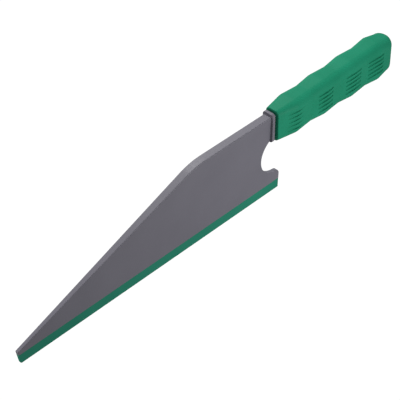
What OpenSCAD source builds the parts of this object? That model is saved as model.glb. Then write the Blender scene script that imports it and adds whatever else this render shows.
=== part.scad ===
// Trowel-shaped hand squeegee.
// A stiff wedge-section plate carries a soft working edge along its bottom and a
// soft waved grip on the ribbed tang behind its neck.
// Units are millimetres. +Z is up with the working edge at Z = 0, +X runs from
// the tip to the grip, and Y = 0 is the plane of symmetry.

/* [Blade] */
// Length of the straight working edge, tip to heel
edge_l = 244; // [200:1:300]
// Height of the neck's spine above the working edge
neck_h = 70; // [60:0.5:90]
// Thickness of the plate at the neck's spine
spine_t = 6.8; // [5:0.1:9]
// Thickness at the working edge
edge_t = 2.2; // [1.8:0.1:3.5]
// Height of the blunt tip
tip_h = 11.2; // [10:0.1:20]
// How far the tip's top leans past its foot
tip_rake = 1.8; // [0:0.1:4]
// Rounding of the tip's foot
tip_r = 1.2; // [0.5:0.1:2]
// Distance from the heel forward to the corner of the shoulder
shoulder_x = 86; // [70:1:110]
// Radius that rounds the shoulder
shoulder_r = 55; // [40:1:120]

/* [Edge strip] */
// Height of the soft strip
strip_h = 8.2; // [6:0.1:9]
// Thickness of the tongue that carries the strip
tongue_t = 1; // [0.8:0.1:1.2]
// Depth of the tongue inside the strip
tongue_d = 4.5; // [3:0.1:5]
// Distance from each end of the strip to the tongue
tongue_inset = 5; // [3:0.5:10]

/* [Finger notch] */
// Radius of the round notch behind the neck
notch_r = 17.2; // [14:0.1:20]
// Height of the notch's lowest point above the working edge
lip_h = 17.3; // [14:0.1:20]
// Distance from the heel forward to the notch's centre
notch_x = 2.8; // [0:0.1:5]
// Rounding of the heel's upper corner
heel_r = 4.2; // [1:0.1:5]

/* [Collar and tang] */
// Distance from the heel forward to the collar's front face
collar_x = 12.1; // [10:0.1:14]
// Thickness of the collar along the tool
collar_t = 2.6; // [2:0.1:5]
// Width of the collar across the tool
collar_w = 9.8; // [9.4:0.1:12]
// Height of the collar
collar_h = 24; // [20:0.1:25]
// Corner radius of the collar
collar_r = 2.4; // [1:0.1:4]
// How far the collar stands above the neck's spine
collar_rise = 2; // [0.5:0.1:3]
// Length of the tang behind the collar
tang_l = 96; // [80:1:102]
// Width of the tang
tang_w = 6; // [5:0.1:8]
// Height of the tang
tang_h = 17; // [14:0.1:18]
// Thickness of the tang's web, flanges and ribs
tang_wall = 2.4; // [1.6:0.1:3]
// Number of cross ribs on the tang
tang_ribs = 6; // [3:1:8]
// Height of the snap ridges on the tang
snap_h = 0.8; // [0.4:0.1:1]
// Length of the snap ridges along the tang
snap_l = 8; // [5:0.5:12]

/* [Grip] */
// Length of the grip
grip_l = 126.3; // [118:0.1:152]
// Gap between the collar and the grip's front face
grip_gap = 2; // [1:0.1:4]
// Width of the grip's front face
grip_front_w = 12; // [11:0.1:15]
// Height of the grip's front face
grip_front_h = 25.8; // [22:0.1:27]
// Width of the grip over a crest
grip_w = 19.4; // [17:0.1:24]
// Height of the grip over its first crest
grip_h = 28.5; // [26:0.1:34]
// Extra height of the grip over its last crest
grip_swell = 4.3; // [0:0.1:6]
// Number of finger waves
waves = 4; // [3:1:4]
// Distance from the front face to the first crest
first_crest = 17.2; // [12:0.1:18]
// Distance between crests
wave_pitch = 30.3; // [28:0.1:31]
// Depth of a valley below its neighbouring crests
wave_d = 0.9; // [0.3:0.05:1.2]
// Largest corner radius of the grip's section
grip_r = 6.1; // [4:0.1:7]
// Corner radius of the section at the front face
grip_front_r = 3.5; // [2:0.1:4]
// Radius of the rear end, seen from above
rear_r = 7.8; // [5:0.1:8.4]
// Rounding of the rear end's top and bottom edges
rear_edge_r = 5.8; // [1:0.1:6.5]
// Clearance between the grip's socket and the tang
socket_gap = 0.1; // [0.05:0.05:0.3]
// Upward tilt of the tang and grip from the line of the working edge, in degrees
grip_tilt = 0.5; // [0:0.1:3]

/* [Hidden] */
$fn = 64;
cut = 1;
collar_front = -collar_x;
collar_back = collar_front + collar_t;
collar_top = neck_h + collar_rise;
axis_z = collar_top - collar_h / 2;
tip_top_x = -edge_l - tip_rake;
notch_c = [-notch_x, lip_h + notch_r];
// Where the heel's rounding circle touches the heel and the notch
heel_c = [-heel_r, notch_c[1] - sqrt(pow(notch_r + heel_r, 2) - pow(notch_x - heel_r, 2))];
heel_touch = heel_c + (notch_c - heel_c) * heel_r / (notch_r + heel_r);
// The shoulder: slope of the spine and the tangent points of its rounding
spine_slope = atan2(neck_h - tip_h, -shoulder_x - tip_top_x);
shoulder_tan = shoulder_r * tan(spine_slope / 2);
// Places along the handle's own axis, which starts at the collar's back
tang_root = -collar_t / 2;
snap_x = tang_l - snap_l - tang_wall;
grip_end = grip_gap + grip_l;
// Facets in a quarter of the grip's section, and steps in its rounded rear end
SECTION_N = 10;
REAR_N = 8;
// Where a valley lies after its crest, as a share of the pitch
VALLEY_SHARE = 0.53;

function wedge_t(z) = edge_t + (spine_t - edge_t) * z / neck_h;

module along_x(from, length) {
    translate([from, 0, 0]) rotate([90, 0, 90]) linear_extrude(length) children();
}

// Side view of the whole blade, strip included
module blade_outline() {
    difference() {
        polygon([
            [-edge_l, 0],
            [0, 0],
            [0, notch_c[1]],
            [collar_front, notch_c[1]],
            [collar_front, neck_h],
            [-shoulder_x, neck_h],
            [tip_top_x, tip_h]
        ]);
        translate(notch_c) circle(notch_r, $fn = 128);
        heel_corner();
        shoulder_corner();
        tip_corner();
    }
}

module heel_corner() {
    difference() {
        translate([heel_touch[0], heel_c[1]]) square([heel_r + cut, heel_r + cut]);
        translate(heel_c) circle(heel_r);
    }
}

module shoulder_corner() {
    corner = [-shoulder_x, neck_h];
    slope_end = corner - shoulder_tan * [cos(spine_slope), sin(spine_slope)];
    neck_end = corner + [shoulder_tan, 0];
    difference() {
        polygon([slope_end, corner + [0, cut], neck_end]);
        translate([neck_end[0], neck_h - shoulder_r]) circle(shoulder_r, $fn = 360);
    }
}

module tip_corner() {
    lean = atan2(tip_h, tip_rake);
    foot_tan = tip_r * tan(lean / 2);
    difference() {
        polygon([
            [-edge_l - cut, -cut],
            [-edge_l + foot_tan, -cut],
            [-edge_l + foot_tan, 0],
            [-edge_l - foot_tan * cos(lean), foot_tan * sin(lean)],
            [-edge_l - cut, foot_tan * sin(lean)]
        ]);
        translate([-edge_l + foot_tan, tip_r]) circle(tip_r);
    }
}

// Cross-section of the blade between two heights
module wedge_section(z_low, z_high) {
    t_low = wedge_t(z_low) / 2;
    t_high = wedge_t(z_high) / 2;
    polygon([[-t_low, z_low], [t_low, z_low], [t_high, z_high], [-t_high, z_high]]);
}

module blade_between(z_low, z_high) {
    intersection() {
        translate([0, spine_t, 0]) rotate([90, 0, 0]) linear_extrude(2 * spine_t) blade_outline();
        along_x(tip_top_x - cut, edge_l + tip_rake + 2 * cut) wedge_section(z_low, z_high);
    }
}

// The tongue that the strip is moulded round
module tongue() {
    translate([-edge_l + tongue_inset, -tongue_t / 2, strip_h - tongue_d])
        cube([edge_l - 2 * tongue_inset, tongue_t, tongue_d + cut]);
}

module rounded_rect(w, h, r) {
    square([w - 2 * r, h], center = true);
    square([w, h - 2 * r], center = true);
    for (y = [-1, 1], z = [-1, 1]) {
        translate([y * (w / 2 - r), z * (h / 2 - r)]) circle(r);
    }
}

module collar() {
    translate([0, 0, axis_z]) along_x(collar_front, collar_t) rounded_rect(collar_w, collar_h, collar_r);
}

// Ribbed core of the handle: two flanges, one web and cross ribs
module tang() {
    rib_step = (tang_l - tang_wall) / (tang_ribs - 1);
    for (side = [-1, 1]) {
        translate([tang_root, -tang_w / 2, side * (tang_h - tang_wall) / 2 - tang_wall / 2])
            cube([tang_l - tang_root, tang_w, tang_wall]);
    }
    translate([tang_root, -tang_wall / 2, -tang_h / 2]) cube([tang_l - tang_root, tang_wall, tang_h]);
    for (i = [0 : tang_ribs - 1]) {
        translate([i * rib_step, -tang_w / 2, -tang_h / 2]) cube([tang_wall, tang_w, tang_h]);
    }
    snap_ridges(0);
}

// A wedge above and below the tang that drops into pockets in the grip
module snap_ridges(clearance) {
    for (side = [0, 1]) {
        mirror([0, 0, side]) translate([0, tang_w / 2 + clearance, tang_h / 2]) rotate([90, 0, 0])
            linear_extrude(tang_w + 2 * clearance)
                polygon([
                    [snap_x - clearance, -cut],
                    [snap_x - clearance, snap_h + clearance],
                    [snap_x + clearance, snap_h + clearance],
                    [snap_x + snap_l + clearance, clearance],
                    [snap_x + snap_l + clearance, -cut]
                ]);
    }
}

// The handle's axis leaves the collar's centre and rises by grip_tilt
module on_handle() {
    translate([collar_back, 0, axis_z]) rotate([0, -grip_tilt, 0]) children();
}

module blade_plate() {
    color("#6f6d76") translate([-mid_x, 0, 0]) {
        blade_between(strip_h, neck_h);
        tongue();
        collar();
        on_handle() tang();
    }
}

module edge_strip() {
    color("#2a7d63") translate([-mid_x, 0, 0]) difference() {
        blade_between(0, strip_h);
        tongue();
    }
}

// Half width and half height of the grip at each crest and valley
function crest_x(i) = grip_gap + first_crest + i * wave_pitch;
function crest_h(i) = (grip_h + grip_swell * i / (waves - 1)) / 2;
function crest_station(i) = [crest_x(i), grip_w / 2, crest_h(i), grip_r];
function valley_station(i) =
    [crest_x(i) + wave_pitch * VALLEY_SHARE, grip_w / 2 - wave_d, crest_h(i + 0.5) - wave_d, grip_r];
// The rear end closes in with rear_r from above and rear_edge_r from the side
rear_w = grip_w / 2 - wave_d;
rear_h = crest_h(waves - 1) - 2 * wave_d;
// Rearmost point of the tilted grip, and the middle of the whole tool
rear_most = collar_back + grip_end * cos(grip_tilt) + (rear_h - rear_edge_r) * sin(grip_tilt);
mid_x = (tip_top_x + rear_most) / 2;
function rear_x(a) = grip_end - rear_r + rear_r * sin(a);
function rear_drop(x) =
    let(past = max(0, x - grip_end + rear_edge_r)) rear_edge_r - sqrt(pow(rear_edge_r, 2) - pow(past, 2));
function rear_station(a) =
    let(w = rear_w - rear_r + rear_r * cos(a)) [rear_x(a), w, rear_h - rear_drop(rear_x(a)), min(grip_r, w)];
stations = [
    [grip_gap, grip_front_w / 2, grip_front_h / 2, grip_front_r],
    for (i = [0 : waves - 1]) each i < waves - 1 ? [crest_station(i), valley_station(i)] : [crest_station(i)],
    for (i = [0 : REAR_N]) rear_station(90 * i / REAR_N)
];

// One ring of the grip: a rectangle with round corners
function ring(s) = [
    for (q = [0 : 3], i = [0 : SECTION_N])
        let(
            a = 90 * (q + i / SECTION_N),
            y = (q == 0 || q == 3 ? 1 : -1) * (s[1] - s[3]),
            z = (q < 2 ? 1 : -1) * (s[2] - s[3])
        )
        [s[0], y + s[3] * cos(a), z + s[3] * sin(a)]
];

module grip_body() {
    n = 4 * (SECTION_N + 1);
    m = len(stations);
    points = [for (s = stations) each ring(s)];
    sides = [for (k = [0 : m - 2], i = [0 : n - 1]) [
        k * n + i, (k + 1) * n + i, (k + 1) * n + (i + 1) % n, k * n + (i + 1) % n
    ]];
    front = [for (i = [0 : n - 1]) i];
    back = [for (i = [0 : n - 1]) m * n - 1 - i];
    polyhedron(points, concat(sides, [front, back]));
}

module grip_socket() {
    translate([grip_gap - cut, -tang_w / 2 - socket_gap, -tang_h / 2 - socket_gap])
        cube([tang_l - grip_gap + cut + socket_gap, tang_w + 2 * socket_gap, tang_h + 2 * socket_gap]);
    snap_ridges(socket_gap);
}

module grip_sleeve() {
    color("#279870") translate([-mid_x, 0, 0]) on_handle() difference() {
        grip_body();
        grip_socket();
    }
}

blade_plate();
edge_strip();
grip_sleeve();
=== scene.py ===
import math

import bmesh
import bpy
from mathutils import Matrix, Vector


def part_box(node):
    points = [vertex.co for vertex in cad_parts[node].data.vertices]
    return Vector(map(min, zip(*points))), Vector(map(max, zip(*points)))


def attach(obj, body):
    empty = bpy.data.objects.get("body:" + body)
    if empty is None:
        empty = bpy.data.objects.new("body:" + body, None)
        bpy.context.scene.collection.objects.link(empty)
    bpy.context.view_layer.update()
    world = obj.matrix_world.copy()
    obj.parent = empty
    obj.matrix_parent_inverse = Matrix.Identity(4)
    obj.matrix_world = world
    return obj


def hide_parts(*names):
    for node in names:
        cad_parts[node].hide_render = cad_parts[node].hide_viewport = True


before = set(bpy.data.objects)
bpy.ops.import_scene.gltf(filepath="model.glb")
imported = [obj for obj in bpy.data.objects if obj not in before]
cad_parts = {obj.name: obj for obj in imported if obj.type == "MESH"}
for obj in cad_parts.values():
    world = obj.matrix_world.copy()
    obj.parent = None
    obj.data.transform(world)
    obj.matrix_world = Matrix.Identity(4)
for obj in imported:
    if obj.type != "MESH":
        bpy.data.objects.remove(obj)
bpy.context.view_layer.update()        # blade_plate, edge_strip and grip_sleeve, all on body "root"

mm = 0.001
# Places along the tool are counted from the heel, where the working edge ends
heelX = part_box("edge_strip")[1].x
print("stage 1: the part is loaded, heel at", round(heelX / mm, 2), "mm")


def fromHeel(x, y, z):
    return Vector((heelX + x * mm, y * mm, z * mm))


# Camera: a long lens above the tip's left side, so the tool runs away to the upper right
view = {
    "place": (-632.05, -539.91, 686.02),   # mm from the heel
    "aim": (-79.59, 0.0, 34.87),
    "lens": 133.72,
    "sensor": 36,                          # mm
    "roll": -0.41,                         # degrees
    "nearest": 10,                         # mm, closer than this nothing is drawn
}

bpy.ops.object.camera_add(location=fromHeel(*view["place"]))
camera = bpy.context.object
camera.name = "camera"
camera.data.lens = view["lens"]
camera.data.sensor_width = view["sensor"]
camera.data.clip_start = view["nearest"] * mm
looking = (fromHeel(*view["aim"]) - camera.location).to_track_quat("-Z", "Y").to_matrix()
camera.rotation_euler = (looking @ Matrix.Rotation(math.radians(view["roll"]), 3, "Z")).to_euler()
bpy.context.scene.camera = camera
bpy.context.scene.view_settings.view_transform = "Standard"
print("stage 2: the camera stands")


def hexToLinear(code):
    parts = [int(code[i:i + 2], 16) / 255 for i in (1, 3, 5)]
    return [c / 12.92 if c <= 0.04045 else ((c + 0.055) / 1.055) ** 2.4 for c in parts] + [1.0]


def addNode(tree, kind, settings=None, links=None):
    # one node: settings go to its own properties or else its sockets, links wire its sockets
    node = tree.nodes.new(kind)
    for key, value in (settings or {}).items():
        if isinstance(key, str) and hasattr(node, key):
            setattr(node, key, value)
        else:
            node.inputs[key].default_value = value
    for key, socket in (links or {}).items():
        tree.links.new(socket, node.inputs[key])
    return node


def emptyMaterial(name):
    material = bpy.data.materials.new(name)
    material.use_nodes = True
    material.node_tree.nodes.clear()
    return material, material.node_tree


# Finishes. Cloud is the slow drift in shade that moulding leaves, and grain is the fine skin
# of the mould. Both are in mm, and so is grainDepth. The real grain is about 0.1 to 0.15 mm,
# too fine to show, so it is drawn coarser.
absGrey = {
    "dark": "#6b6973", "light": "#706e78",
    "cloud": 38.0, "grain": 0.9, "grainDepth": 0.012,
    "smooth": 0.46, "rough": 0.56,         # roughness on the grain's tops and in its pits
    "ior": 1.53, "specular": 0.4,
}
tpeStrip = {
    "dark": "#1c7c64", "light": "#22836a",
    "cloud": 25.0, "grain": 0.8, "grainDepth": 0.016,
    "smooth": 0.62, "rough": 0.74,
    "ior": 1.5, "specular": 0.2,
}
tpeGrip = {
    "dark": "#1a8463", "light": "#1f8c6b",
    "cloud": 22.0, "grain": 1.0, "grainDepth": 0.014,
    "smooth": 0.46, "rough": 0.58,
    "ior": 1.5, "specular": 0.1,
}
noiseLow, noiseHigh = 0.3, 0.7             # nearly all of a noise pattern lies between these


def mouldedMaterial(name, look):
    # moulded polymer: a slow drift in shade, a fine grain in relief and a matching drift in gloss
    material, tree = emptyMaterial(name)
    coords = addNode(tree, "ShaderNodeTexCoord")
    cloud = addNode(tree, "ShaderNodeTexNoise",
                    {"Scale": 1 / (look["cloud"] * mm), "Detail": 3.0, "Roughness": 0.55},
                    {"Vector": coords.outputs["Object"]})
    grain = addNode(tree, "ShaderNodeTexNoise",
                    {"Scale": 1 / (look["grain"] * mm), "Detail": 2.0, "Roughness": 0.5},
                    {"Vector": coords.outputs["Object"]})
    shade = addNode(tree, "ShaderNodeValToRGB", links={"Fac": cloud.outputs["Fac"]})
    for stop, place, tone in ((0, noiseLow, "dark"), (1, noiseHigh, "light")):
        shade.color_ramp.elements[stop].position = place
        shade.color_ramp.elements[stop].color = hexToLinear(look[tone])
    gloss = addNode(tree, "ShaderNodeMapRange",
                    {"From Min": noiseLow, "From Max": noiseHigh,
                     "To Min": look["smooth"], "To Max": look["rough"]},
                    {"Value": grain.outputs["Fac"]})
    relief = addNode(tree, "ShaderNodeBump",
                     {"Strength": 1.0, "Distance": look["grainDepth"] * mm},
                     {"Height": grain.outputs["Fac"]})
    shader = addNode(tree, "ShaderNodeBsdfPrincipled",
                     {"IOR": look["ior"], "Specular IOR Level": look["specular"]},
                     {"Base Color": shade.outputs["Color"], "Roughness": gloss.outputs["Result"],
                      "Normal": relief.outputs["Normal"]})
    addNode(tree, "ShaderNodeOutputMaterial", links={"Surface": shader.outputs["BSDF"]})
    return material


# ABS from a spark-eroded mould: an even satin grey whose fine pits spread every highlight
satinAbs = mouldedMaterial("satinAbsGrey", absGrey)
# Soft TPE for the working edge: matt, almost no highlight, colour all the way through
mattTpe = mouldedMaterial("mattTpeGreen", tpeStrip)
# Firmer TPE for the grip: a lighter green with a satin skin
satinTpe = mouldedMaterial("satinTpeGreen", tpeGrip)
print("stage 3: finishes are mixed")

# How a CAD node's mesh is cleaned, rounded and shaded
meshing = {
    "mergeGap": 0.002,     # mm, corners nearer than this become one
    "flatAngle": 0.3,      # degrees, faces that meet flatter than this become one
    "roundFrom": 25,       # degrees, an edge that turns less isn't rounded
    "smoothUpTo": 32,      # degrees, an edge that turns more is shaded sharp
    "roundSteps": 3,       # facets across a rounded edge
    "flatPull": 80,        # how far big faces lead the shading, where 50 is evenly
}
squareOn = 0.99            # a face is square to an axis when this much of its normal is along it
levelOn = 0.9              # the same for nearly level faces
slack = 0.01               # mm, allowance when an edge is found by its place


def selectOnly(piece):
    bpy.ops.object.select_all(action="DESELECT")
    piece.select_set(True)
    bpy.context.view_layer.objects.active = piece


def startPiece(nodeName, pieceName):
    # a merged copy of a CAD node's mesh as a new object, the only one selected
    piece = bpy.data.objects.new(pieceName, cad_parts[nodeName].data.copy())
    bpy.context.scene.collection.objects.link(piece)
    selectOnly(piece)
    piece.data.materials.clear()
    bpy.ops.mesh.customdata_custom_splitnormals_clear()
    bpy.ops.object.mode_set(mode="EDIT")
    bpy.ops.mesh.select_all(action="SELECT")
    bpy.ops.mesh.remove_doubles(threshold=meshing["mergeGap"] * mm)
    bpy.ops.object.mode_set(mode="OBJECT")
    return piece


def mergeFlats():
    # makes one face of each flat area of the active piece
    bpy.ops.object.mode_set(mode="EDIT")
    bpy.ops.mesh.select_all(action="SELECT")
    bpy.ops.mesh.dissolve_limited(angle_limit=math.radians(meshing["flatAngle"]))
    bpy.ops.object.mode_set(mode="OBJECT")


def selectEdges(piece, test):
    bpy.ops.mesh.select_all(action="DESELECT")
    mesh = bmesh.from_edit_mesh(piece.data)
    for edge in mesh.edges:
        if test(edge):
            edge.select_set(True)
    bmesh.update_edit_mesh(piece.data)


def roundEdges(piece, width, rule):
    # bevels each edge by the share of width that rule gives for it
    mesh = bmesh.new()
    mesh.from_mesh(piece.data)
    weight = mesh.edges.layers.float.new("bevel_weight_edge")
    turn = math.radians(meshing["roundFrom"])
    for edge in mesh.edges:
        if len(edge.link_faces) == 2 and edge.is_convex and edge.calc_face_angle() > turn:
            edge[weight] = rule(edge)
    mesh.to_mesh(piece.data)
    mesh.free()
    bpy.ops.object.modifier_add(type="BEVEL")
    bevel = piece.modifiers[-1]
    bevel.limit_method = "WEIGHT"
    bevel.width = width * mm
    bevel.segments = meshing["roundSteps"]
    bevel.use_clamp_overlap = False
    bpy.ops.object.modifier_apply(modifier=bevel.name)


def finishPiece(piece, material, nodeName):
    # smooth shading that keeps the flats flat, then the piece's material, body and slot
    selectOnly(piece)
    bpy.ops.object.shade_smooth_by_angle(angle=math.radians(meshing["smoothUpTo"]))
    bpy.ops.object.modifier_add(type="WEIGHTED_NORMAL")
    weighted = piece.modifiers[-1]
    weighted.keep_sharp = True
    weighted.weight = meshing["flatPull"]
    bpy.ops.object.modifier_apply(modifier=weighted.name)
    piece.data.materials.append(material)
    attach(piece, "root")
    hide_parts(nodeName)


plate = {
    "spineRound": 0.7,     # mm, rounding along both edges of the spine
    "rimRound": 0.4,       # round the notch, the heel and the tip
    "seamRound": 0.12,     # where the plate meets the soft strip
    "collarRound": 0.4,
    "collarFront": -12.1,  # mm from the heel
    "collarBack": -9.5,
    "notchFront": -21.0,   # mm from the heel, behind this and under notchTop lies the notch
    "notchTop": 60.0,      # mm above the working edge
    "notchMiddle": 45.0,   # above this are the collar's own edges, below it the heel's
    "seamHeight": 8.2,
    "seamSlack": 0.1,
    "collarClear": 1.0,    # further in front of the collar than this, an edge isn't the collar's
    "tongueHalf": 1.0,     # nearer the middle than this an edge belongs to the tongue
    "spineTilt": 0.3,      # the spine faces upwards by at least this share
}


def isSeam(sideFace, z):
    # the plate's foot, level and low, where the soft strip starts
    return sideFace.z < -levelOn and z < plate["seamHeight"] + plate["seamSlack"]


def plateRounding(edge):
    a, b = edge.link_faces[0].normal, edge.link_faces[1].normal
    middle = (edge.verts[0].co + edge.verts[1].co) / 2
    x, y, z = (middle.x - heelX) / mm, abs(middle.y) / mm, middle.z / mm
    other = a if abs(b.y) > squareOn else b                      # the face that isn't a side
    onSide = max(abs(a.y), abs(b.y)) > squareOn
    seam = plate["seamRound"] / plate["spineRound"]
    rim = plate["rimRound"] / plate["spineRound"]
    inNotch = x > plate["notchFront"] and z < plate["notchTop"]
    if x < plate["collarFront"] + slack and onSide:
        if y < plate["tongueHalf"]:
            return 0.0                                           # hidden inside the strip
        if other.z > plate["spineTilt"] and z > 0 and not inNotch:
            return 1.0
        return seam if isSeam(other, z) else rim
    if x < plate["collarFront"] - plate["collarClear"]:
        return rim                                               # across the tip
    onCollar = plate["collarFront"] - slack < x < plate["collarBack"] + slack
    if onCollar and z > plate["notchMiddle"] and max(abs(a.x), abs(b.x)) > squareOn:
        return plate["collarRound"] / plate["spineRound"]
    if onSide and z < plate["notchMiddle"] and y > plate["tongueHalf"]:
        return seam if isSeam(other, z) else rim                 # heel and lower notch
    return 0.0


bladePlate = startPiece("blade_plate", "bladePlate")
mergeFlats()
roundEdges(bladePlate, plate["spineRound"], plateRounding)
finishPiece(bladePlate, satinAbs, "blade_plate")
print("stage 4: blade plate,", len(bladePlate.data.polygons), "faces")

strip = {
    "rimRound": 0.4,       # mm, along the foot, the heel and the tip, as on the plate
    "seamRound": 0.12,
    "slotHalf": 0.9,       # nearer the middle than this an edge belongs to the tongue's slot
}


def stripRounding(edge):
    a, b = edge.link_faces[0].normal, edge.link_faces[1].normal
    middle = (edge.verts[0].co + edge.verts[1].co) / 2
    if abs(middle.y) < strip["slotHalf"] * mm and max(abs(a.y), abs(b.y)) > squareOn:
        return 0.0
    other = a if abs(b.y) > squareOn else b
    return strip["seamRound"] / strip["rimRound"] if other.z > levelOn else 1.0


edgeStrip = startPiece("edge_strip", "edgeStrip")
mergeFlats()
roundEdges(edgeStrip, strip["rimRound"], stripRounding)
finishPiece(edgeStrip, mattTpe, "edge_strip")
print("stage 5: edge strip,", len(edgeStrip.data.polygons), "faces")

grip = {
    "axisStart": (-9.5, 0.0, 60.0),    # mm from the heel, where the axis leaves the collar
    "tilt": 0.5,                       # degrees that the axis rises
    "front": 2.0,                      # mm along the axis to the front face
    "firstCrest": 19.2,
    "pitch": 30.3,
    "valleyShare": 0.53,               # a valley's place after its crest, as a share of the pitch
    "waves": 4,
    "crestRound": 1.0,                 # mm of facet that each crest takes to turn
    "valleyRound": 0.7,
    "rimRound": 0.6,
    "roundSteps": 4,
    "quadAngle": 60,                   # degrees, how unlike two triangles joined to a quad may be
    "stationSlack": 0.02,              # mm, allowance when a crest or valley is found by its place
    "socketHalf": (3.2, 8.7),          # mm, half the socket's width and height
    "crestHalf": 9.7,                  # half width over a crest
    "grooves": 5,
    "groovePitch": 3.5,
    "grooveRadius": 0.95,
    "grooveDepth": 1.2,                # at the crest, shallower towards both ends
    # Wave by wave: mm from the crest to each end, and degrees that the front ends lean inwards
    "grooveSpans": [(-9.4, 6.3), (-8.3, 7.2), (-8.5, 8.4), (-13.4, 3.6)],
    "grooveLeans": [6.8, 0, 0, 1.5],
    "rodSides": 32,                    # of the cutter that sinks a groove
    "rodEndShare": 0.7,                # rounding of the cutter's ends, as a share of its radius
    "rodEndSteps": 5,
}
axisStart = fromHeel(*grip["axisStart"])
handleFrame = Matrix.Translation(axisStart) @ Matrix.Rotation(-math.radians(grip["tilt"]), 4, "Y")
crests = [grip["firstCrest"] + i * grip["pitch"] for i in range(grip["waves"])]
valleys = [x + grip["pitch"] * grip["valleyShare"] for x in crests[:-1]]

gripSleeve = startPiece("grip_sleeve", "gripSleeve")
gripSleeve.data.transform(handleFrame.inverted())
bpy.ops.object.mode_set(mode="EDIT")
bpy.ops.mesh.select_all(action="SELECT")
quadAngle = math.radians(grip["quadAngle"])
bpy.ops.mesh.tris_convert_to_quads(face_threshold=quadAngle, shape_threshold=quadAngle)


def onStation(edge, station):
    return all(abs(v.co.x - station * mm) < grip["stationSlack"] * mm for v in edge.verts)


def outside(edge):
    halfY, halfZ = grip["socketHalf"]
    return all(abs(v.co.y) > halfY * mm or abs(v.co.z) > halfZ * mm for v in edge.verts)


def isRim(edge):
    frontFaces = sum(abs(f.normal.x) > squareOn for f in edge.link_faces)
    return onStation(edge, grip["front"]) and outside(edge) and frontFaces == 1


def roundSelected(width, steps):
    bpy.ops.mesh.bevel(offset=width * mm, segments=steps, affect="EDGES", clamp_overlap=False)


for stations, width in ((crests, grip["crestRound"]), (valleys, grip["valleyRound"])):
    selectEdges(gripSleeve, lambda e: outside(e) and any(onStation(e, x) for x in stations))
    roundSelected(width, grip["roundSteps"])
selectEdges(gripSleeve, isRim)
roundSelected(grip["rimRound"], grip["roundSteps"])
bpy.ops.object.mode_set(mode="OBJECT")


def addRod(start, end):
    # the cutter for one groove: a rod along the handle with rounded ends
    radius = grip["grooveRadius"]
    bpy.ops.object.select_all(action="DESELECT")
    bpy.ops.mesh.primitive_cylinder_add(vertices=grip["rodSides"], radius=radius * mm,
                                        depth=(end - start) * mm,
                                        location=((start + end) / 2 * mm, 0, 0),
                                        rotation=(0, math.pi / 2, 0))
    rod = bpy.context.object
    bpy.ops.object.transform_apply(location=True, rotation=True, scale=False)
    bpy.ops.object.mode_set(mode="EDIT")
    selectEdges(rod, lambda e: abs(e.verts[0].co.x - e.verts[1].co.x) < slack * mm)
    roundSelected(grip["rodEndShare"] * radius, grip["rodEndSteps"])
    bpy.ops.object.mode_set(mode="OBJECT")
    return rod


# Each rod is sunk into the side by the groove's depth, a stack of them to a crest and side
cutters = []
for wave, crest in enumerate(crests):
    rod = addRod(*grip["grooveSpans"][wave])
    for side in (-1, 1):
        lean = math.radians(grip["grooveLeans"][wave]) * side
        across = side * (grip["crestHalf"] - grip["grooveDepth"] + grip["grooveRadius"])
        for row in range(grip["grooves"]):
            height = (row - (grip["grooves"] - 1) / 2) * grip["groovePitch"]
            cutter = bpy.data.objects.new("cutter", rod.data.copy())
            bpy.context.scene.collection.objects.link(cutter)
            cutter.data.transform(Matrix.Translation(Vector((crest, across, height)) * mm)
                                  @ Matrix.Rotation(lean, 4, "Z"))
            cutters.append(cutter)
    bpy.data.objects.remove(rod)
selectOnly(cutters[0])
for cutter in cutters:
    cutter.select_set(True)
bpy.ops.object.join()
cutterSet = bpy.context.object

selectOnly(gripSleeve)
bpy.ops.object.modifier_add(type="BOOLEAN")
carve = gripSleeve.modifiers[-1]
carve.operation = "DIFFERENCE"
carve.solver = "EXACT"
carve.object = cutterSet
bpy.ops.object.modifier_apply(modifier=carve.name)
bpy.data.objects.remove(cutterSet)
gripSleeve.data.transform(handleFrame)
finishPiece(gripSleeve, satinTpe, "grip_sleeve")
print("stage 6: grip,", len(gripSleeve.data.polygons), "faces")

# Studio: a light table, a big soft light above and behind, a low one in front, a card at the tip.
# Places are in mm from the heel, sizes in mm.
studio = {
    "fill": 0.34,
    "lamps": {
        "softboxAbove": {"place": (100, 330, 540), "aim": (10, 0, 50), "size": 360, "watts": 3.0},
        "softboxFront": {"place": (30, -280, 60), "aim": (0, 0, 50), "size": 200, "watts": 0.49},
        "cardLeft": {"place": (-460, 90, 140), "aim": (-240, 0, 10), "size": 160, "watts": 0.38},
    },
    "tableSize": 20000,
    "tableDrop": 0.3,      # below the working edge
    "tableGlow": 1.05,     # just over plain white
}
white = (1, 1, 1, 1)


def addSoftbox(name, lamp):
    place, aim = fromHeel(*lamp["place"]), fromHeel(*lamp["aim"])
    bpy.ops.object.light_add(type="AREA", location=place)
    box = bpy.context.object
    box.name = name
    box.rotation_euler = (aim - place).to_track_quat("-Z", "Y").to_euler()
    box.data.shape = "DISK"
    box.data.size = lamp["size"] * mm
    box.data.energy = lamp["watts"]
    box.visible_camera = False


for name, lamp in studio["lamps"].items():
    addSoftbox(name, lamp)

world = bpy.data.worlds.new("studio")
bpy.context.scene.world = world
world.use_nodes = True
backdrop = world.node_tree.nodes["Background"]
backdrop.inputs["Strength"].default_value = studio["fill"]
backdrop.inputs["Color"].default_value = white

# Opal acrylic lit evenly from below, so the table is plain white and takes no shadow
opalAcrylic, opalTree = emptyMaterial("litOpalAcrylic")
opalGlow = addNode(opalTree, "ShaderNodeEmission",
                   {"Color": white, "Strength": studio["tableGlow"]})
addNode(opalTree, "ShaderNodeOutputMaterial", links={"Surface": opalGlow.outputs["Emission"]})
bpy.ops.object.select_all(action="DESELECT")
bpy.ops.mesh.primitive_plane_add(size=studio["tableSize"] * mm,
                                 location=(0, 0, -studio["tableDrop"] * mm))
floor = bpy.context.object
floor.name = "floor"
floor.data.materials.append(opalAcrylic)
floor.visible_diffuse = False
floor.visible_glossy = False
floor.visible_shadow = False
print("stage 7: studio is lit")
